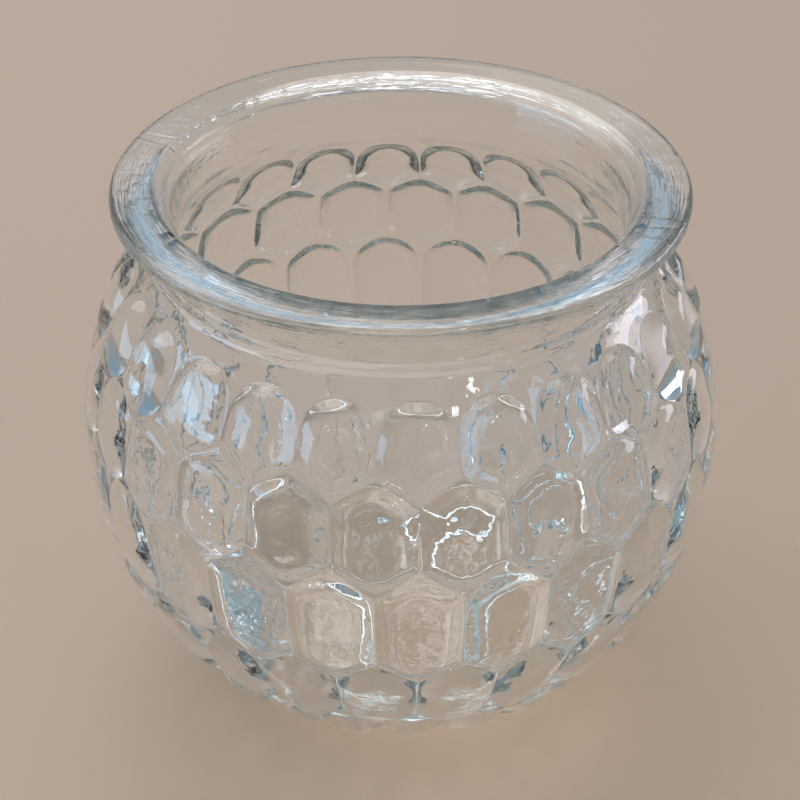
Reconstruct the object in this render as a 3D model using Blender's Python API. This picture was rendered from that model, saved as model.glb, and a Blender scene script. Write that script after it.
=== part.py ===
"""Tealight holder: one squat globe bowl of pressed clear glass.

The belly is a honeycomb of raised six-sided pillows between a plain shoulder and a small foot,
and the wide mouth ends in a flat flange. Metres, +Z up, origin on the axis at the standing face.
The outer meridian is two arcs that meet at the equator. A point on it is given by its angle
there, alpha, which is positive above the equator, and by an angle round the axis, theta.
"""

from math import acos, asin, cos, hypot, pi, sin

import bmesh
import bpy

# ---- driving dimensions ----
HEIGHT = 0.0787
BELLY_RADIUS = 0.0455  # to the crests of the pillows
EQUATOR_SHARE = 0.531  # of the height
BELLY_WALL = 0.0032  # crest to inner surface

NECK_INNER_RADIUS = 0.0304
NECK_WALL = 0.0034
NECK_FILLET = 0.0030
INNER_FILLET = 0.0030  # where the neck opens into the belly
NECK_HEIGHT = 0.0079  # from the shoulder's end up to the rim's face
FLANGE_OVERHANG = 0.0052  # beyond the neck's outer surface
FLANGE_THICKNESS = 0.0022  # at its edge
FLANGE_TAPER = 0.0014  # how much thicker it gets towards the neck
FLANGE_EDGE_ROUNDING = 0.0009
LIP_WIDTH = 0.0026  # the slanted lip, from the flat of the flange in to the straight neck
LIP_DEPTH = 0.0054
# Where the lip's slant steepens: shares of its width, from the neck, and of its depth, from the top.
LIP_BREAK = (0.385, 0.315)

CELLS_ROUND = 24
PILLOW_RISE = 0.0011  # crest above crease
TOP_ROW_SWELL = 0.0004  # how much further the top row's pillows stand out
PILLOW_EDGE = 0.0023  # how wide a pillow's rounded edge is
EDGE_SHARE = 0.6  # how much of the rise lies in that edge; the rest is the crown
CROWN_REACH = 0.0055  # how far in from the crease the crown keeps rising
# Crest heights on the body, as shares of the way from the table up to where the neck's fillet begins.
ARCH_TOP = 0.9756
ARCH_SPRING = 0.8946
ARCH_FULLNESS = 2.4  # exponent of the top row's rounded ends, 2 is an ellipse
# Each zigzag crease from the shoulder down, its upper and its lower corners.
ZIGZAGS = ((0.8475, 0.7993), (0.6712, 0.6057), (0.4268, 0.3633), (0.2178, 0.1583), (0.0856, 0.0471))

FOOT_RADIUS = 0.0238
FOOT_RING_WIDTH = 0.0034
FOOT_RECESS = 0.0012
FOOT_ROUNDING = 0.0008
FOOT_SETBACK = 0.0009  # how far the foot stands in from where the belly's curve would meet the table
FLOOR_HEIGHT = 0.0065
FLOOR_FILLET = 0.0050

# ---- how finely it is drawn ----
STEPS_PER_CELL = 2
RING_SCALES = (0.86, 0.58)  # the rings between a pillow's crease and its middle
ARCH_STEPS = (-1.0, -0.93, -0.72, -0.4, 0.0, 0.4, 0.72, 0.93, 1.0)
MERGE_DISTANCE = 1e-6
SHARP_ANGLE = 0.6


def tangent_arc(reach, drop):
    """Radius of the arc that leaves the equator upright and closes in by drop over reach."""
    return (reach ** 2 + drop ** 2) / (2 * drop)


# ---- what follows from them ----
CELL_PITCH = 2 * pi / CELLS_ROUND
NECK_RADIUS = NECK_INNER_RADIUS + NECK_WALL
RIM_RADIUS = NECK_RADIUS + FLANGE_OVERHANG
MOUTH_RADIUS = NECK_INNER_RADIUS + LIP_WIDTH
EQUATOR_HEIGHT = EQUATOR_SHARE * HEIGHT
BODY_HEIGHT = HEIGHT - NECK_HEIGHT
UPPER_ARC_RADIUS = tangent_arc(BODY_HEIGHT - EQUATOR_HEIGHT, BELLY_RADIUS - NECK_RADIUS)
LOWER_ARC_RADIUS = tangent_arc(EQUATOR_HEIGHT, BELLY_RADIUS - FOOT_RADIUS - FOOT_SETBACK)
LOWER_ARC_CENTRE = BELLY_RADIUS - LOWER_ARC_RADIUS
UPPER_ARC_CENTRE = BELLY_RADIUS - UPPER_ARC_RADIUS
FILLET_REACH = UPPER_ARC_RADIUS - PILLOW_RISE + NECK_FILLET
FILLET_ANGLE = acos((NECK_RADIUS + NECK_FILLET - UPPER_ARC_CENTRE) / FILLET_REACH)
SHOULDER_HEIGHT = EQUATOR_HEIGHT + UPPER_ARC_RADIUS * sin(FILLET_ANGLE)


def clear_scene():
    for old in list(bpy.data.objects):
        bpy.data.objects.remove(old, do_unlink=True)


def glass_material():
    material = bpy.data.materials.new("clear_glass")
    material.use_nodes = True
    shader = material.node_tree.nodes["Principled BSDF"]
    shader.inputs["Base Color"].default_value = (0.93, 0.96, 0.94, 1.0)
    shader.inputs["Roughness"].default_value = 0.02
    shader.inputs["Metallic"].default_value = 0.0
    shader.inputs["Transmission Weight"].default_value = 1.0
    shader.inputs["IOR"].default_value = 1.5
    return material


# ---- the outer meridian ----
def arc_radius(alpha):
    return LOWER_ARC_RADIUS if alpha < 0 else UPPER_ARC_RADIUS


def alpha_at(share):
    """The angle of the crest that stands this share of the way up the body."""
    above = share * SHOULDER_HEIGHT - EQUATOR_HEIGHT
    return asin(above / arc_radius(above))


def meridian(alpha, depth):
    """(radius, height) of the point that lies depth inside the pillows' crests."""
    centre = LOWER_ARC_CENTRE if alpha < 0 else UPPER_ARC_CENTRE
    reach = arc_radius(alpha) - depth
    return centre + reach * cos(alpha), EQUATOR_HEIGHT + reach * sin(alpha)


def placed(radius, height, theta):
    return radius * cos(theta), radius * sin(theta), height


# ---- the honeycomb ----
def on_sheet(theta, alpha):
    """The surface laid out flat, in metres, near enough over one cell."""
    radius, _ = meridian(alpha, 0)
    return radius * theta, arc_radius(alpha) * alpha


def distance_to_edge(point, start, end):
    along = end[0] - start[0], end[1] - start[1]
    offset = point[0] - start[0], point[1] - start[1]
    share = (offset[0] * along[0] + offset[1] * along[1]) / (along[0] ** 2 + along[1] ** 2)
    share = min(1, max(0, share))
    return hypot(offset[0] - share * along[0], offset[1] - share * along[1])


def swelling(inset, reach):
    """How far a rounded edge has risen, from 0 at the crease to 1 at its reach."""
    return 1 - (1 - min(1, inset / reach)) ** 2


def pillow_point(outline, theta, alpha, swell):
    """A point of a pillow, raised by how far it lies from the nearest crease."""
    corners = [on_sheet(*corner) for corner in outline]
    here = on_sheet(theta, alpha)
    edges = zip(corners, corners[1:] + corners[:1])
    inset = min(distance_to_edge(here, start, end) for start, end in edges)
    edge, crown = swelling(inset, PILLOW_EDGE), swelling(inset, CROWN_REACH)
    rise = PILLOW_RISE * (EDGE_SHARE * edge + (1 - EDGE_SHARE) * crown) + swell * crown
    return placed(*meridian(alpha, PILLOW_RISE - rise), theta)


def arch_outline():
    """The top row's outline round theta 0: an arch over a point."""
    spring, top = alpha_at(ARCH_SPRING), alpha_at(ARCH_TOP)
    upper, lower = map(alpha_at, ZIGZAGS[0])
    half = CELL_PITCH / 2
    arch = []
    for step in reversed(ARCH_STEPS):
        height = (1 - abs(step) ** ARCH_FULLNESS) ** (1 / ARCH_FULLNESS)
        arch.append((step * half, spring + (top - spring) * height))
    return [(-half, upper), (0, lower), (half, upper)] + arch


def hexagon_outline(above, below):
    """A six-sided outline round theta 0, between two zigzags."""
    half = CELL_PITCH / 2
    top, shoulder = map(alpha_at, above)
    hip, bottom = map(alpha_at, below)
    return [(-half, hip), (0, bottom), (half, hip), (half, shoulder), (0, top), (-half, shoulder)]


def turned(outline, turn):
    return [(theta + turn, alpha) for theta, alpha in outline]


def add_face(bm, points):
    bm.faces.new([bm.verts.new(point) for point in points])


def add_pillow(bm, outline, swell):
    count = len(outline)
    middle = tuple(sum(corner[k] for corner in outline) / count for k in (0, 1))
    rings = [[pillow_point(outline, *corner, swell) for corner in outline]]
    for scale in RING_SCALES:
        ring = []
        for corner in outline:
            theta, alpha = (m + scale * (c - m) for c, m in zip(corner, middle))
            ring.append(pillow_point(outline, theta, alpha, swell))
        rings.append(ring)
    for outer, inner in zip(rings, rings[1:]):
        for i in range(count):
            j = (i + 1) % count
            add_face(bm, (outer[i], outer[j], inner[j], inner[i]))
    crown = pillow_point(outline, *middle, swell)
    for i in range(count):
        add_face(bm, (rings[-1][i], rings[-1][(i + 1) % count], crown))


def add_honeycomb(bm):
    outlines = [arch_outline()]
    outlines += [hexagon_outline(above, below) for above, below in zip(ZIGZAGS, ZIGZAGS[1:])]
    for row, outline in enumerate(outlines):
        swell = 0 if row else TOP_ROW_SWELL
        for cell in range(CELLS_ROUND):
            add_pillow(bm, turned(outline, (cell + row % 2 / 2) * CELL_PITCH), swell)


# ---- the turned surfaces ----
def arc(centre_radius, centre_height, radius, start, end, steps):
    angles = (start + (end - start) * step / steps for step in range(steps + 1))
    return [(centre_radius + radius * cos(a), centre_height + radius * sin(a)) for a in angles]


def shoulder_to_lip():
    """The turned profile from above the arches, over the flange and into the neck."""
    fillet_height = EQUATOR_HEIGHT + FILLET_REACH * sin(FILLET_ANGLE)
    start = (alpha_at(ARCH_TOP) + FILLET_ANGLE) / 2
    underside = HEIGHT - FLANGE_THICKNESS
    root = underside - FLANGE_TAPER
    edge = FLANGE_EDGE_ROUNDING
    profile = [meridian(start, PILLOW_RISE)]
    profile += arc(NECK_RADIUS + NECK_FILLET, fillet_height, NECK_FILLET, pi + FILLET_ANGLE, pi, 3)
    profile += [(NECK_RADIUS, root - edge), (NECK_RADIUS + edge, root)]
    profile += arc(RIM_RADIUS - edge, underside + edge, edge, -pi / 2, 0, 2)
    profile += arc(RIM_RADIUS - edge, HEIGHT - edge, edge, 0, pi / 2, 2)
    profile += [(MOUTH_RADIUS, HEIGHT)]
    profile += [(NECK_INNER_RADIUS + LIP_BREAK[0] * LIP_WIDTH, HEIGHT - LIP_BREAK[1] * LIP_DEPTH)]
    return profile + [(NECK_INNER_RADIUS, HEIGHT - LIP_DEPTH)]


def neck_to_floor():
    """The turned inner profile, from the neck down to the flat floor."""
    upper_reach = UPPER_ARC_RADIUS - BELLY_WALL
    lower_reach = LOWER_ARC_RADIUS - BELLY_WALL
    neck_angle = acos((NECK_INNER_RADIUS + INNER_FILLET - UPPER_ARC_CENTRE) / (upper_reach + INNER_FILLET))
    neck_height = EQUATOR_HEIGHT + (upper_reach + INNER_FILLET) * sin(neck_angle)
    fillet_reach = lower_reach - FLOOR_FILLET
    fillet_height = FLOOR_HEIGHT + FLOOR_FILLET
    fillet_angle = asin((fillet_height - EQUATOR_HEIGHT) / fillet_reach)
    fillet_radius = LOWER_ARC_CENTRE + fillet_reach * cos(fillet_angle)
    profile = arc(NECK_INNER_RADIUS + INNER_FILLET, neck_height, INNER_FILLET, pi, pi + neck_angle, 3)
    profile += arc(UPPER_ARC_CENTRE, EQUATOR_HEIGHT, upper_reach, neck_angle, 0, 5)[1:]
    profile += arc(LOWER_ARC_CENTRE, EQUATOR_HEIGHT, lower_reach, 0, fillet_angle, 6)[1:]
    return profile + arc(fillet_radius, fillet_height, FLOOR_FILLET, fillet_angle, -pi / 2, 3)[1:]


def foot_profile():
    """The turned profile from the last zigzag to the recess under the foot."""
    band = ZIGZAGS[-1][1] / 2
    ring_inner = FOOT_RADIUS - FOOT_RING_WIDTH
    recess = ring_inner - FOOT_RECESS
    profile = [meridian(alpha_at(band), PILLOW_RISE)]
    profile += [(FOOT_RADIUS + FOOT_ROUNDING / 2, FOOT_ROUNDING / 2), (FOOT_RADIUS, 0)]
    return profile + [(ring_inner, 0), (recess, FOOT_RECESS)]


def angles_round():
    count = CELLS_ROUND * STEPS_PER_CELL
    return [CELL_PITCH / STEPS_PER_CELL * step for step in range(count + 1)]


def add_turned(bm, profile, capped_height=None):
    """A surface of revolution, with a flat middle where a height for it is given."""
    angles = angles_round()
    for start, end in zip(angles, angles[1:]):
        for outer, inner in zip(profile, profile[1:]):
            add_face(bm, (placed(*outer, start), placed(*outer, end),
                          placed(*inner, end), placed(*inner, start)))
        if capped_height is not None:
            last = profile[-1]
            add_face(bm, (placed(*last, start), placed(*last, end), (0, 0, capped_height)))


def add_shoulder_strip(bm, ring):
    """Fills between the arches and the first turned ring above them."""
    arch = arch_outline()[3:]
    half_steps = STEPS_PER_CELL // 2
    for cell in range(CELLS_ROUND):
        middle = cell * CELL_PITCH
        crease = [placed(*meridian(alpha, PILLOW_RISE), theta + middle) for theta, alpha in arch]
        steps = [middle + CELL_PITCH / STEPS_PER_CELL * k for k in range(-half_steps, half_steps + 1)]
        above = [placed(*ring, theta) for theta in steps]
        top = len(crease) // 2
        # crease runs from +theta to -theta, and above from -theta to +theta
        add_face(bm, crease[:top + 1] + above[half_steps:])
        add_face(bm, crease[top:] + above[:half_steps + 1])


def add_foot_strip(bm, ring):
    """Fills between the lowest zigzag and the first turned ring below it."""
    upper, lower = map(alpha_at, ZIGZAGS[-1])
    # An even number of zigzags puts the last row's middles at half pitches.
    shift = (len(ZIGZAGS) - 1) % 2 / 2
    half_steps = STEPS_PER_CELL // 2
    step_angle = CELL_PITCH / STEPS_PER_CELL
    for cell in range(CELLS_ROUND):
        middle = (cell + shift) * CELL_PITCH
        point = placed(*meridian(lower, PILLOW_RISE), middle)
        for side in (-1, 1):
            corner = placed(*meridian(upper, PILLOW_RISE), middle + side * CELL_PITCH / 2)
            below = [placed(*ring, middle + side * k * step_angle) for k in range(half_steps + 1)]
            add_face(bm, [point, corner] + below[::-1])


def glass_bowl():
    bm = bmesh.new()
    add_honeycomb(bm)
    outside = shoulder_to_lip()
    add_shoulder_strip(bm, outside[0])
    add_turned(bm, outside + neck_to_floor(), FLOOR_HEIGHT)
    foot = foot_profile()
    add_foot_strip(bm, foot[0])
    add_turned(bm, foot, FOOT_RECESS)
    bmesh.ops.remove_doubles(bm, verts=bm.verts, dist=MERGE_DISTANCE)
    bmesh.ops.recalc_face_normals(bm, faces=bm.faces)
    mesh = bpy.data.meshes.new("glass_bowl")
    bm.to_mesh(mesh)
    bm.free()
    mesh.shade_smooth()
    mesh.set_sharp_from_angle(angle=SHARP_ANGLE)
    mesh.materials.append(glass_material())
    bowl = bpy.data.objects.new("glass_bowl", mesh)
    bpy.context.scene.collection.objects.link(bowl)


clear_scene()
glass_bowl()
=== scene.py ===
from math import acos, asin, cos, pi, radians, sin

import bmesh
import bpy
import numpy as np
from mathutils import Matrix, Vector


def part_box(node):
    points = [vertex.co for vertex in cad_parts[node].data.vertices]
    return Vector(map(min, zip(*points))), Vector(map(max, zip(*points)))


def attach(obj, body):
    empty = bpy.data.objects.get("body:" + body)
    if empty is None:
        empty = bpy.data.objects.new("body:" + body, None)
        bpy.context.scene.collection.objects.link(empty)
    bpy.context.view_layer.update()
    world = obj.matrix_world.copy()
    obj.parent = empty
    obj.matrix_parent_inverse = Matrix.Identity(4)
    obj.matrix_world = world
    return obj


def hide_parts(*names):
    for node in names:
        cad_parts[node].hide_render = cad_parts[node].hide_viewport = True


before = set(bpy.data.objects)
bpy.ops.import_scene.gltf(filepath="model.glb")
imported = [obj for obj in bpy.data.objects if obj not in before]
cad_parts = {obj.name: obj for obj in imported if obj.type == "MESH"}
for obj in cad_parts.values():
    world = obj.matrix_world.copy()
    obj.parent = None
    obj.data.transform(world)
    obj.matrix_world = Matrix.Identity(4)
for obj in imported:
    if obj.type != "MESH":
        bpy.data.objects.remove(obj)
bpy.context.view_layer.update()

LOWEST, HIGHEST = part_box("glass_bowl")

# ---- the bowl's sizes: overall ones from the frame, the rest as in the CAD ----
HEIGHT = HIGHEST.z
BELLY_RADIUS = (HIGHEST.x - LOWEST.x) / 2
EQUATOR_SHARE = 0.531  # of the height
BELLY_WALL = 0.0032
NECK_INNER_RADIUS = 0.0304
NECK_WALL = 0.0034
NECK_FILLET = 0.0030
INNER_FILLET = 0.0030
NECK_HEIGHT = 0.0079
FLANGE_OVERHANG = 0.0052
FLANGE_THICKNESS = 0.0022
FLANGE_TAPER = 0.0014
FLANGE_EDGE_ROUNDING = 0.0009
LIP_WIDTH = 0.0026
LIP_DEPTH = 0.0054
LIP_BREAK = (0.385, 0.315)  # shares of its width from the neck, of its depth from the top
LIP_SOFTNESS = 0.0005
CELLS_ROUND = 24
PILLOW_RISE = 0.0011  # crest above crease
# How far each row's crowns stand out beyond the crests, from the arches down.
ROW_SWELLS = (0.0008, 0, 0.00012, 0.0005, 0.0005)
PILLOW_EDGE = 0.0023  # how wide a pillow's rounded edge is
EDGE_SHARE = 0.6  # how much of the rise lies in that edge; the rest is the crown
CROWN_REACH = 0.0055
# Crest heights on the body, as shares of the way from the table up to where the neck's fillet begins.
ARCH_TOP = 0.9756
ARCH_SPRING = 0.8946
ARCH_FULLNESS = 2.4
ZIGZAGS = ((0.8475, 0.7993), (0.6712, 0.6057), (0.4268, 0.3633), (0.2178, 0.1583), (0.0856, 0.0471))
FOOT_RADIUS = 0.0238
FOOT_RING_WIDTH = 0.0034
FOOT_RECESS = 0.0012
FOOT_ROUNDING = 0.0007
FOOT_SETBACK = 0.0009
FLOOR_HEIGHT = 0.0065
FLOOR_FILLET = 0.0050

# ---- the fine surface, which only the looks have ----
CREASE_ROUNDING = 0.00016
SIDE_EASE = 0.74  # a pillow's upright sides climb this much more gently than its ends
CORNER_RADIUS = 0.0038  # of a pillow's rounded edge where two creases meet
CORNER_SHARE = 0.85  # the most of a small pillow's half width that the corner radius may take
CROWN_SOFTNESS = 2.5  # the lower, the rounder a pillow's crown
OUTLINE_RAYS = 72
OUTLINE_SEARCH = 0.02  # farther than any pillow reaches from its middle
OUTLINE_HALVINGS = 24
RING_INSETS = (0, 0.018, 0.042, 0.075, 0.115, 0.165, 0.225, 0.30, 0.40, 0.54, 0.74)
ARCH_SEGMENTS = 12
UPRIGHT_SEGMENTS = 8
SLANT_SEGMENTS = 7
MERGE_DISTANCE = 1e-6
WAVES_PER_METRE = 170.0
WAVE_HEIGHT = 0.00012
RING_RELIEF = 0.00005
RINGS_PER_METRE = 2600.0
RING_STRETCH = 0.055  # how slowly the rings change on their way round
RING_RISE = 0.8  # how fast they change with height, against the radius
RINGS_FROM = (0.86 * HEIGHT, 0.91 * HEIGHT)
SEAMS = (radians(67.5), radians(-112.5))  # where the mould's halves met
SEAM_RELIEF = 0.0006  # share of radius and height
SEAM_FADE = 60  # the larger, the slower a seam fades in and out along its profile
SAME_ANGLE = 1e-8


def tangent_arc(reach, drop):
    """Radius of the arc that leaves the equator upright and closes in by drop over reach."""
    return (reach ** 2 + drop ** 2) / (2 * drop)


CELL_PITCH = 2 * pi / CELLS_ROUND
NECK_RADIUS = NECK_INNER_RADIUS + NECK_WALL
RIM_RADIUS = NECK_RADIUS + FLANGE_OVERHANG
MOUTH_RADIUS = NECK_INNER_RADIUS + LIP_WIDTH
EQUATOR_HEIGHT = EQUATOR_SHARE * HEIGHT
BODY_HEIGHT = HEIGHT - NECK_HEIGHT
UPPER_ARC_RADIUS = tangent_arc(BODY_HEIGHT - EQUATOR_HEIGHT, BELLY_RADIUS - NECK_RADIUS)
LOWER_ARC_RADIUS = tangent_arc(EQUATOR_HEIGHT, BELLY_RADIUS - FOOT_RADIUS - FOOT_SETBACK)
LOWER_ARC_CENTRE = BELLY_RADIUS - LOWER_ARC_RADIUS
UPPER_ARC_CENTRE = BELLY_RADIUS - UPPER_ARC_RADIUS
FILLET_REACH = UPPER_ARC_RADIUS - PILLOW_RISE + NECK_FILLET
FILLET_ANGLE = acos((NECK_RADIUS + NECK_FILLET - UPPER_ARC_CENTRE) / FILLET_REACH)
SHOULDER_HEIGHT = EQUATOR_HEIGHT + UPPER_ARC_RADIUS * sin(FILLET_ANGLE)


# ---- the outer meridian, as in the CAD ----
def arc_radius(alpha):
    return np.where(np.asarray(alpha) < 0, LOWER_ARC_RADIUS, UPPER_ARC_RADIUS)


def alpha_at(share):
    """The angle of the crest that stands this share of the way up the body."""
    above = share * SHOULDER_HEIGHT - EQUATOR_HEIGHT
    return asin(above / (LOWER_ARC_RADIUS if above < 0 else UPPER_ARC_RADIUS))


def meridian(alpha, depth):
    """Radius and height of the points that lie depth inside the pillows' crests."""
    reach = arc_radius(alpha) - depth
    centre = np.where(np.asarray(alpha) < 0, LOWER_ARC_CENTRE, UPPER_ARC_CENTRE)
    return centre + reach * np.cos(alpha), EQUATOR_HEIGHT + reach * np.sin(alpha)


def placed(radius, height, theta):
    # theta is 0 at -Y, the side that faces the camera, and grows towards +X
    return np.stack([radius * np.sin(theta), -radius * np.cos(theta), height + 0 * theta], axis=-1)


# ---- building blocks ----
class Shell:
    """Points and quads of the whole surface, gathered before they are joined."""

    def __init__(self):
        self.points, self.faces, self.count = [], [], 0

    def add_grid(self, grid, closed=False):
        """A grid of points, rows by columns, as quads. closed joins its last column to its first."""
        rows, columns = grid.shape[:2]
        index = np.arange(rows * columns).reshape(rows, columns) + self.count
        if closed:
            index = np.concatenate([index, index[:, :1]], axis=1)
        quads = np.stack([index[:-1, :-1], index[:-1, 1:], index[1:, 1:], index[1:, :-1]], axis=-1)
        self.points.append(grid.reshape(-1, 3))
        self.faces += quads.reshape(-1, 4).tolist()
        self.count += rows * columns

    def add_fan(self, ring, middle):
        """Triangles from a closed ring of points to its middle."""
        start, count = self.count, len(ring)
        self.points.append(np.concatenate([ring, [middle]]))
        self.faces += [(start + i, start + (i + 1) % count, start + count) for i in range(count)]
        self.count += count + 1


def distance_to_path(u, v, path):
    """How far the points (u, v) lie from a chain of straight edges."""
    nearest = np.full(np.shape(u), np.inf)
    for (u0, v0), (u1, v1) in zip(path, path[1:]):
        along_u, along_v = u1 - u0, v1 - v0
        share = ((u - u0) * along_u + (v - v0) * along_v) / (along_u ** 2 + along_v ** 2)
        share = np.clip(share, 0, 1)
        nearest = np.minimum(nearest, np.hypot(u - u0 - share * along_u, v - v0 - share * along_v))
    return nearest


# ---- the honeycomb ----
def on_sheet(theta, alpha):
    """The surface laid out flat, in metres, near enough over one cell."""
    radius, _ = meridian(alpha, 0)
    return SIDE_EASE * radius * theta, arc_radius(alpha) * alpha


def swelling(inset, reach):
    """How far a rounded edge has risen, from 0 at the crease to 1 at its reach."""
    return 1 - (1 - np.minimum(inset / reach, 1)) ** 2


def inner_outline(path, middle, inset):
    """The chain of points that lie this far inside an outline."""
    turn = np.linspace(0, 2 * pi, OUTLINE_RAYS + 1)
    near, far = np.zeros_like(turn), np.full_like(turn, OUTLINE_SEARCH)
    for _ in range(OUTLINE_HALVINGS):
        reach = (near + far) / 2
        u, v = middle[0] + reach * np.cos(turn), middle[1] + reach * np.sin(turn)
        inside = (distance_to_path(u, v, path) > inset) & (reach < crossing(turn, path, middle))
        near, far = np.where(inside, reach, near), np.where(inside, far, reach)
    return list(zip(middle[0] + near * np.cos(turn), middle[1] + near * np.sin(turn)))


def crossing(turn, path, middle):
    """How far from the middle each ray leaves the outline."""
    nearest = np.full_like(turn, np.inf)
    for (u0, v0), (u1, v1) in zip(path, path[1:]):
        normal_u, normal_v = v1 - v0, u0 - u1
        level = (u0 - middle[0]) * normal_u + (v0 - middle[1]) * normal_v
        facing = np.cos(turn) * normal_u + np.sin(turn) * normal_v
        nearest = np.where(facing > 1e-12, np.minimum(nearest, level / np.maximum(facing, 1e-12)), nearest)
    return nearest


def pillow_depth(theta, alpha, sides, middle, swell):
    """How far below the crests a pillow lies at these points."""
    u, v = on_sheet(theta, alpha)
    paths = [[on_sheet(*corner) for corner in side] for side in sides]
    border = [point for path in paths for point in path[:-1]] + [paths[0][0]]
    centre = on_sheet(*middle)
    corner = min(CORNER_RADIUS, CORNER_SHARE * float(distance_to_path(*centre, border)))
    depth_in = distance_to_path(u, v, border)
    rounded = corner - distance_to_path(u, v, inner_outline(border, centre, corner))
    edge_inset = np.where(depth_in > corner, depth_in, np.maximum(rounded, 0))
    edge_inset = np.hypot(edge_inset, CREASE_ROUNDING) - CREASE_ROUNDING
    total = sum(np.maximum(distance_to_path(u, v, path), 1e-7) ** -CROWN_SOFTNESS for path in paths)
    crown_inset = total ** (-1 / CROWN_SOFTNESS)
    edge, crown = swelling(edge_inset, PILLOW_EDGE), swelling(crown_inset, CROWN_REACH)
    return PILLOW_RISE * (1 - EDGE_SHARE * edge - (1 - EDGE_SHARE) * crown) - swell * crown


def arch_points(segments):
    """The top row's rounded end round theta 0, from its right spring to its left."""
    spring, top = alpha_at(ARCH_SPRING), alpha_at(ARCH_TOP)
    turn = np.linspace(0, pi, segments + 1)
    across = np.sign(np.cos(turn)) * np.abs(np.cos(turn)) ** (2 / ARCH_FULLNESS)
    up = np.abs(np.sin(turn)) ** (2 / ARCH_FULLNESS)
    across[[0, segments // 2, -1]] = 1, 0, -1
    up[[0, -1]] = 0
    return list(zip(across * CELL_PITCH / 2, spring + (top - spring) * up))


def cell_sides(row):
    """A cell's sides round theta 0, each a chain of (theta, alpha), anticlockwise from the lower left."""
    half = CELL_PITCH / 2
    if row == 0:
        hip, bottom = map(alpha_at, ZIGZAGS[0])
        arch = arch_points(ARCH_SEGMENTS)
        upright = [(half, hip), arch[0]], [arch[-1], (-half, hip)]
        return [[(-half, hip), (0, bottom)], [(0, bottom), (half, hip)], upright[0], arch, upright[1]]
    top, shoulder = map(alpha_at, ZIGZAGS[row - 1])
    hip, bottom = map(alpha_at, ZIGZAGS[row])
    corners = [(-half, hip), (0, bottom), (half, hip), (half, shoulder), (0, top), (-half, shoulder)]
    return [[start, end] for start, end in zip(corners, corners[1:] + corners[:1])]


def divided(side):
    """A side cut into the same pieces as its neighbour's, without its last point."""
    if len(side) > 2:
        return side[:-1]
    (theta0, alpha0), (theta1, alpha1) = side
    count = UPRIGHT_SEGMENTS if theta0 == theta1 else SLANT_SEGMENTS
    return [(theta0 + (theta1 - theta0) * k / count, alpha0 + (alpha1 - alpha0) * k / count)
            for k in range(count)]


def add_honeycomb(shell):
    for row in range(len(ZIGZAGS)):
        swell = ROW_SWELLS[row]
        sides = cell_sides(row)
        outline = np.array([point for side in sides for point in divided(side)])
        middle = (outline.max(axis=0) + outline.min(axis=0)) / 2
        scales = 1 - np.array(RING_INSETS)[:, None, None]
        rings = middle + (outline - middle) * scales
        theta, alpha = rings[..., 0], rings[..., 1]
        depth = pillow_depth(theta, alpha, sides, middle, swell)
        depth[0] = PILLOW_RISE
        radius, height = meridian(alpha, depth)
        middle_depth = pillow_depth(*middle, sides, middle, swell)
        for cell in range(CELLS_ROUND):
            turn = (cell + row % 2 / 2) * CELL_PITCH
            grid = placed(radius, height, theta + turn)
            shell.add_grid(grid, closed=True)
            crest = placed(*meridian(middle[1], middle_depth), middle[0] + turn)
            shell.add_fan(grid[-1], crest)


# ---- the turned surfaces ----
def arc(centre_radius, centre_height, radius, start, end, steps):
    angles = start + (end - start) * np.arange(steps + 1) / steps
    return [(centre_radius + radius * cos(a), centre_height + radius * sin(a)) for a in angles]


def straight(start, end, steps):
    """The points between two profile points, without either."""
    (r0, z0), (r1, z1) = start, end
    shares = [step / steps for step in range(1, steps)]
    return [(r0 + (r1 - r0) * share, z0 + (z1 - z0) * share) for share in shares]


def bent(before, corner, after, reach, steps=4):
    """The points of a soft bend at a profile's corner."""
    def towards_point(target):
        gap = np.subtract(target, corner)
        return np.array(corner) + gap * min(reach / np.hypot(*gap), 0.45)
    start, end = towards_point(before), towards_point(after)
    shares = np.linspace(0, 1, steps + 1)
    return [tuple((1 - k) ** 2 * start + 2 * k * (1 - k) * np.array(corner) + k * k * end) for k in shares]


def shoulder_to_lip():
    """The turned profile from above the arches, over the flange and into the neck."""
    fillet_height = EQUATOR_HEIGHT + FILLET_REACH * sin(FILLET_ANGLE)
    start = (alpha_at(ARCH_TOP) + FILLET_ANGLE) / 2
    underside = HEIGHT - FLANGE_THICKNESS
    root = underside - FLANGE_TAPER
    edge = FLANGE_EDGE_ROUNDING
    outer = (RIM_RADIUS - edge, underside)
    profile = [tuple(map(float, meridian(start, PILLOW_RISE)))]
    profile += arc(NECK_RADIUS + NECK_FILLET, fillet_height, NECK_FILLET, pi + FILLET_ANGLE, pi, 6)
    profile += bent(profile[-1], (NECK_RADIUS, root - edge / 4), outer, 1.6 * edge, 7)
    profile += straight(profile[-1], outer, 3)
    profile += arc(RIM_RADIUS - edge, underside + edge, edge, -pi / 2, 0, 7)
    profile += arc(RIM_RADIUS - edge, HEIGHT - edge, edge, 0, pi / 2, 7)
    mouth, lip, neck = (MOUTH_RADIUS, HEIGHT), lip_break(), (NECK_INNER_RADIUS, HEIGHT - LIP_DEPTH)
    profile += bent(profile[-1], mouth, lip, LIP_SOFTNESS)
    profile += bent(mouth, lip, neck, LIP_SOFTNESS)
    below = (NECK_INNER_RADIUS, HEIGHT - LIP_DEPTH - LIP_SOFTNESS)
    return profile + bent(lip, neck, below, LIP_SOFTNESS)


def lip_break():
    return NECK_INNER_RADIUS + LIP_BREAK[0] * LIP_WIDTH, HEIGHT - LIP_BREAK[1] * LIP_DEPTH


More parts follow.
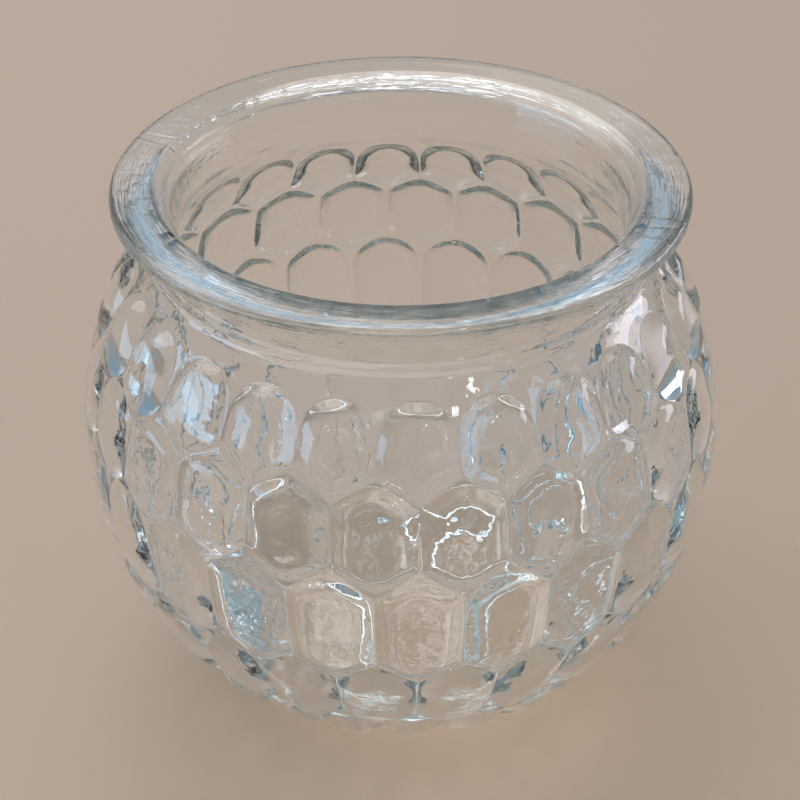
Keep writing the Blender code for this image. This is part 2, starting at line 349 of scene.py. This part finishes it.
def neck_to_floor():
    """The turned inner profile, from the neck down to the flat floor."""
    upper_reach = UPPER_ARC_RADIUS - BELLY_WALL
    lower_reach = LOWER_ARC_RADIUS - BELLY_WALL
    neck_angle = acos((NECK_INNER_RADIUS + INNER_FILLET - UPPER_ARC_CENTRE) / (upper_reach + INNER_FILLET))
    neck_height = EQUATOR_HEIGHT + (upper_reach + INNER_FILLET) * sin(neck_angle)
    fillet_reach = lower_reach - FLOOR_FILLET
    fillet_height = FLOOR_HEIGHT + FLOOR_FILLET
    fillet_angle = asin((fillet_height - EQUATOR_HEIGHT) / fillet_reach)
    fillet_radius = LOWER_ARC_CENTRE + fillet_reach * cos(fillet_angle)
    profile = arc(NECK_INNER_RADIUS + INNER_FILLET, neck_height, INNER_FILLET, pi, pi + neck_angle, 7)
    profile = straight((NECK_INNER_RADIUS, HEIGHT - LIP_DEPTH - LIP_SOFTNESS), profile[0], 3) + profile
    profile += arc(UPPER_ARC_CENTRE, EQUATOR_HEIGHT, upper_reach, neck_angle, 0, 16)[1:]
    profile += arc(LOWER_ARC_CENTRE, EQUATOR_HEIGHT, lower_reach, 0, fillet_angle, 18)[1:]
    profile += arc(fillet_radius, fillet_height, FLOOR_FILLET, fillet_angle, -pi / 2, 8)[1:]
    return profile + [(fillet_radius * share, FLOOR_HEIGHT) for share in (0.7, 0.4, 0.15)]


def foot_profile():
    """The turned profile from the last zigzag to the recess under the foot."""
    ring_inner = FOOT_RADIUS - FOOT_RING_WIDTH
    edge = FOOT_ROUNDING
    profile = [tuple(map(float, meridian(alpha_at(ZIGZAGS[-1][1] / 2), PILLOW_RISE)))]
    profile += arc(FOOT_RADIUS - edge, edge, edge, -radians(35), -pi / 2, 5)
    profile += arc(ring_inner + edge, edge, edge, -pi / 2, -pi, 5)
    profile += arc(ring_inner - 2 * edge, FOOT_RECESS - edge, edge, radians(40), pi / 2, 4)
    return profile + [(profile[-1][0] * share, FOOT_RECESS) for share in (0.7, 0.4, 0.15)]


def ring_angles(across, shift=0.0):
    """One cell's angles, repeated all the way round, so that a turned ring meets the cells."""
    return np.concatenate([across[:-1] + (cell + shift) * CELL_PITCH for cell in range(CELLS_ROUND)])


def add_turned(shell, profile, angles, capped, relief=0.0):
    angles = angles[None, :]
    radii, heights = (np.array(profile)[:, k, None] for k in (0, 1))
    on_seam = sum(np.cos(angles - seam) > 1 - SAME_ANGLE for seam in SEAMS)
    step = np.arange(len(profile))
    fade = np.clip(step * step[::-1] / SEAM_FADE, 0, 1)[:, None]
    raised = relief * on_seam * fade
    grid = placed(radii * (1 + raised), heights * (1 - raised), angles)
    shell.add_grid(grid, closed=True)
    if capped:
        shell.add_fan(grid[-1], (0, 0, profile[-1][1]))


def add_shoulder(shell, ring):
    """Joins the arches to the first turned ring above them."""
    arch = np.array(arch_points(ARCH_SEGMENTS))[::-1]
    top_alpha = np.arctan2(ring[1] - EQUATOR_HEIGHT, ring[0] - UPPER_ARC_CENTRE)
    for cell in range(CELLS_ROUND):
        theta = arch[:, 0] + cell * CELL_PITCH
        rows = []
        for share in (0, 0.12, 0.3, 0.55, 0.78, 1):
            alpha = arch[:, 1] + (top_alpha - arch[:, 1]) * share
            rows.append(placed(*meridian(alpha, PILLOW_RISE), theta))
        shell.add_grid(np.array(rows))


def add_foot(shell, ring, across, shift):
    """Joins the lowest zigzag to the first turned ring below it."""
    upper, lower = map(alpha_at, ZIGZAGS[-1])
    bottom_alpha = np.arctan2(ring[1] - EQUATOR_HEIGHT, ring[0] - LOWER_ARC_CENTRE)
    zigzag = lower + (upper - lower) * np.abs(across) / (CELL_PITCH / 2)
    for cell in range(CELLS_ROUND):
        rows = []
        for share in (0, 0.3, 0.65, 1):
            place = meridian(zigzag + (bottom_alpha - zigzag) * share, PILLOW_RISE)
            rows.append(placed(*place, across + (cell + shift) * CELL_PITCH))
        shell.add_grid(np.array(rows))


def make_bowl():
    shell = Shell()
    add_honeycomb(shell)
    outside = shoulder_to_lip()
    add_shoulder(shell, outside[0])
    inside = neck_to_floor()
    arch_angles = ring_angles(np.array(arch_points(ARCH_SEGMENTS))[::-1, 0])
    add_turned(shell, outside, arch_angles, False, SEAM_RELIEF)
    add_turned(shell, outside[-1:] + inside, arch_angles, True)
    foot = foot_profile()
    slants = np.linspace(-CELL_PITCH / 2, CELL_PITCH / 2, 2 * SLANT_SEGMENTS + 1)
    shift = (len(ZIGZAGS) - 1) % 2 / 2
    add_foot(shell, foot[0], slants, shift)
    add_turned(shell, foot, ring_angles(slants, shift), True)
    mesh = bpy.data.meshes.new("pressed_glass_bowl")
    mesh.from_pydata(np.concatenate(shell.points), [], shell.faces)
    bm = bmesh.new()
    bm.from_mesh(mesh)
    bmesh.ops.remove_doubles(bm, verts=bm.verts, dist=MERGE_DISTANCE)
    bmesh.ops.recalc_face_normals(bm, faces=bm.faces)
    bm.to_mesh(mesh)
    bm.free()
    mesh.shade_smooth()
    bowl = bpy.data.objects.new("pressed_glass_bowl", mesh)
    bpy.context.scene.collection.objects.link(bowl)
    return bowl


# ---- materials ----
GLASS_IOR = 1.5
GLASS_TINT = (0.62, 0.78, 0.76, 1)
GLASS_DENSITY = 14.0
PAINTED_SHADOW_TINT = (0.79, 0.76, 0.71, 1)  # what one surface lets through of a lamp's light on its way to the floor; its warm, dark tint is a painted shadow that sets the colour and depth of the bowl's shadow on the floor, not the glass's own colour
FLOOR_COLOUR = (0.53, 0.386, 0.282, 1)


def maths(nodes, links, operation, first, second, third=None):
    """A Math node. Each operand is a number or another node's output."""
    node = nodes.new("ShaderNodeMath")
    node.operation = operation
    for socket, operand in zip(node.inputs, (first, second, third)):
        if isinstance(operand, (int, float)):
            socket.default_value = operand
        elif operand is not None:
            links.new(operand, socket)
    return node.outputs["Value"]


def noise(nodes, links, vector, scale, detail):
    node = nodes.new("ShaderNodeTexNoise")
    node.inputs["Scale"].default_value = scale
    node.inputs["Detail"].default_value = detail
    links.new(vector, node.inputs["Vector"])
    return node.outputs["Fac"]


def bump(nodes, links, height, distance, normal=None):
    node = nodes.new("ShaderNodeBump")
    node.inputs["Distance"].default_value = distance
    links.new(height, node.inputs["Height"])
    if normal is not None:
        links.new(normal, node.inputs["Normal"])
    return node.outputs["Normal"]


def ring_noise(nodes, links, place):
    """Fine streaks round the axis, from the top of the shoulder up."""
    flat = nodes.new("ShaderNodeVectorMath")
    flat.operation = "MULTIPLY"
    flat.inputs[1].default_value = (1, 1, 0)
    links.new(place, flat.inputs[0])
    radius = nodes.new("ShaderNodeVectorMath")
    radius.operation = "LENGTH"
    links.new(flat.outputs["Vector"], radius.inputs[0])
    split = nodes.new("ShaderNodeSeparateXYZ")
    links.new(place, split.inputs[0])
    turned = nodes.new("ShaderNodeCombineXYZ")
    for axis in "XY":
        slow = maths(nodes, links, "MULTIPLY", split.outputs[axis], RING_STRETCH)
        links.new(slow, turned.inputs[axis])
    across = maths(nodes, links, "MULTIPLY_ADD", split.outputs["Z"], RING_RISE, radius.outputs["Value"])
    links.new(across, turned.inputs["Z"])
    rings = noise(nodes, links, turned.outputs["Vector"], RINGS_PER_METRE, 2.0)
    above = nodes.new("ShaderNodeMapRange")
    above.inputs["From Min"].default_value, above.inputs["From Max"].default_value = RINGS_FROM
    links.new(split.outputs["Z"], above.inputs["Value"])
    return maths(nodes, links, "MULTIPLY", rings, above.outputs["Result"])


def surface_bump(nodes, links):
    """Slow waves all over, and the fine rings over them."""
    place = nodes.new("ShaderNodeTexCoord").outputs["Object"]
    wavy = bump(nodes, links, noise(nodes, links, place, WAVES_PER_METRE, 3.0), WAVE_HEIGHT)
    return bump(nodes, links, ring_noise(nodes, links, place), RING_RELIEF, wavy)


def glass_material():
    material = bpy.data.materials.new("pressed_glass")
    material.use_nodes = True
    nodes, links = material.node_tree.nodes, material.node_tree.links
    shader = nodes["Principled BSDF"]
    shader.inputs["Base Color"].default_value = (1, 1, 1, 1)
    shader.inputs["Roughness"].default_value = 0.0
    shader.inputs["IOR"].default_value = GLASS_IOR
    shader.inputs["Transmission Weight"].default_value = 1.0
    links.new(surface_bump(nodes, links), shader.inputs["Normal"])
    absorb = nodes.new("ShaderNodeVolumeAbsorption")
    absorb.inputs["Color"].default_value = GLASS_TINT
    absorb.inputs["Density"].default_value = GLASS_DENSITY
    links.new(absorb.outputs["Volume"], nodes["Material Output"].inputs["Volume"])
    # Shadow rays go through the glass as this tinted transparent surface, so the lamps light the floor under
    # the bowl and the tint paints the bowl's warm shadow there.
    painted_shadow_pass = nodes.new("ShaderNodeBsdfTransparent")
    painted_shadow_pass.inputs["Color"].default_value = PAINTED_SHADOW_TINT
    lamps_pass = nodes.new("ShaderNodeMixShader")
    links.new(nodes.new("ShaderNodeLightPath").outputs["Is Shadow Ray"], lamps_pass.inputs["Fac"])
    links.new(shader.outputs["BSDF"], lamps_pass.inputs[1])
    links.new(painted_shadow_pass.outputs["BSDF"], lamps_pass.inputs[2])
    links.new(lamps_pass.outputs["Shader"], nodes["Material Output"].inputs["Surface"])
    return material


def floor_material():
    material = bpy.data.materials.new("pale_floor")
    material.use_nodes = True
    shader = material.node_tree.nodes["Principled BSDF"]
    shader.inputs["Base Color"].default_value = FLOOR_COLOUR
    shader.inputs["Roughness"].default_value = 0.55
    return material


# ---- the stage ----
FLOOR_GAP = 0.00015  # the air left under glass that only rests on a table
FLOOR_HALF = 1.5
CAMERA_DISTANCE = 0.280
CAMERA_ELEVATION = radians(34.36)
CAMERA_AZIMUTH = radians(-3.1)
AIM = Vector((-0.0001, 0, 0.04225))
FOCAL_SHARE = 2.417  # focal length as a share of the picture's width
SENSOR_WIDTH = 36.0
# The surroundings' colours from straight down (0) through the horizon (0.5) to straight up (1).
SURROUNDINGS = ((0.0, (0.33, 0.25, 0.19, 1)), (0.49, (0.33, 0.26, 0.20, 1)), (0.515, (0.25, 0.29, 0.31, 1)),
                (0.62, (0.17, 0.28, 0.37, 1)), (0.86, (0.30, 0.38, 0.45, 1)), (1.0, (0.50, 0.52, 0.55, 1)))


def make_floor():
    mesh = bpy.data.meshes.new("floor")
    side, top = FLOOR_HALF, -FLOOR_GAP
    corners = [(-side, -side, top), (side, -side, top), (side, side, top), (-side, side, top)]
    mesh.from_pydata(corners, [], [(0, 1, 2, 3)])
    mesh.materials.append(floor_material())
    floor = bpy.data.objects.new("floor", mesh)
    bpy.context.scene.collection.objects.link(floor)


def towards(azimuth, elevation, distance):
    """A point round the bowl. Azimuth 0 is at -Y and grows towards +X."""
    return Vector((sin(azimuth) * cos(elevation), -cos(azimuth) * cos(elevation), sin(elevation))) * distance


def looking(obj, place, target):
    obj.location = place
    obj.rotation_euler = (target - place).to_track_quat("-Z", "Y").to_euler()
    bpy.context.scene.collection.objects.link(obj)
    return obj


def make_camera():
    data = bpy.data.cameras.new("camera")
    data.sensor_width = SENSOR_WIDTH
    data.lens = SENSOR_WIDTH * FOCAL_SHARE
    data.clip_start = 0.01
    camera = bpy.data.objects.new("camera", data)
    looking(camera, AIM + towards(CAMERA_AZIMUTH, CAMERA_ELEVATION, CAMERA_DISTANCE), AIM)
    bpy.context.scene.camera = camera


def softbox(name, azimuth, elevation, distance, size, power, colour):
    """A soft lamp that faces the bowl. Its azimuth is in degrees from the camera's, to the right."""
    data = bpy.data.lights.new(name, "AREA")
    data.shape = "RECTANGLE"
    data.size, data.size_y = size
    data.energy = power
    data.color = colour
    lamp = bpy.data.objects.new(name, data)
    place = AIM + towards(CAMERA_AZIMUTH + radians(azimuth), radians(elevation), distance)
    looking(lamp, place, AIM)


def make_world():
    world = bpy.data.worlds.new("studio")
    world.use_nodes = True
    nodes, links = world.node_tree.nodes, world.node_tree.links
    place = nodes.new("ShaderNodeTexCoord")
    split = nodes.new("ShaderNodeSeparateXYZ")
    spread = nodes.new("ShaderNodeMapRange")
    spread.inputs["From Min"].default_value = -1
    ramp = nodes.new("ShaderNodeValToRGB")
    links.new(place.outputs["Generated"], split.inputs[0])
    links.new(split.outputs["Z"], spread.inputs["Value"])
    links.new(spread.outputs["Result"], ramp.inputs["Fac"])
    while len(ramp.color_ramp.elements) < len(SURROUNDINGS):
        ramp.color_ramp.elements.new(0.5)
    for element, (position, colour) in zip(ramp.color_ramp.elements, SURROUNDINGS):
        element.position, element.color = position, colour
    links.new(ramp.outputs["Color"], nodes["Background"].inputs["Color"])
    nodes["Background"].inputs["Strength"].default_value = 1.0
    bpy.context.scene.world = world


def make_lights():
    softbox("ceiling_light", -145, 60, 1.2, (1.2, 1.0), 9.3, (1.0, 0.965, 0.95))
    softbox("left_window", -80, 11, 1.3, (0.9, 0.26), 3.4, (0.34, 0.67, 1.0))
    softbox("right_window", 112, 13, 1.3, (0.8, 0.26), 2.8, (0.88, 0.86, 1.0))
    softbox("left_pane", -170, 34, 1.3, (0.14, 0.25), 0.22, (0.55, 0.76, 1.0))
    softbox("right_pane", 170, 34, 1.3, (0.14, 0.25), 0.20, (0.55, 0.76, 1.0))
    softbox("near_pane", 32, 40, 1.3, (0.05, 0.07), 0.16, (1.0, 1.0, 1.0))
    softbox("far_pane", 22, 34, 1.3, (0.05, 0.06), 0.12, (0.85, 0.92, 1.0))


# ---- the scene ----
make_camera()
bowl = make_bowl()
bowl.data.materials.append(glass_material())
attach(bowl, "root")
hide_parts("glass_bowl")
make_floor()
make_world()
make_lights()
scene = bpy.context.scene
scene.view_settings.view_transform = "Standard"
scene.cycles.max_bounces = 24
scene.cycles.transmission_bounces = 24
scene.cycles.glossy_bounces = 12
scene.cycles.transparent_max_bounces = 32
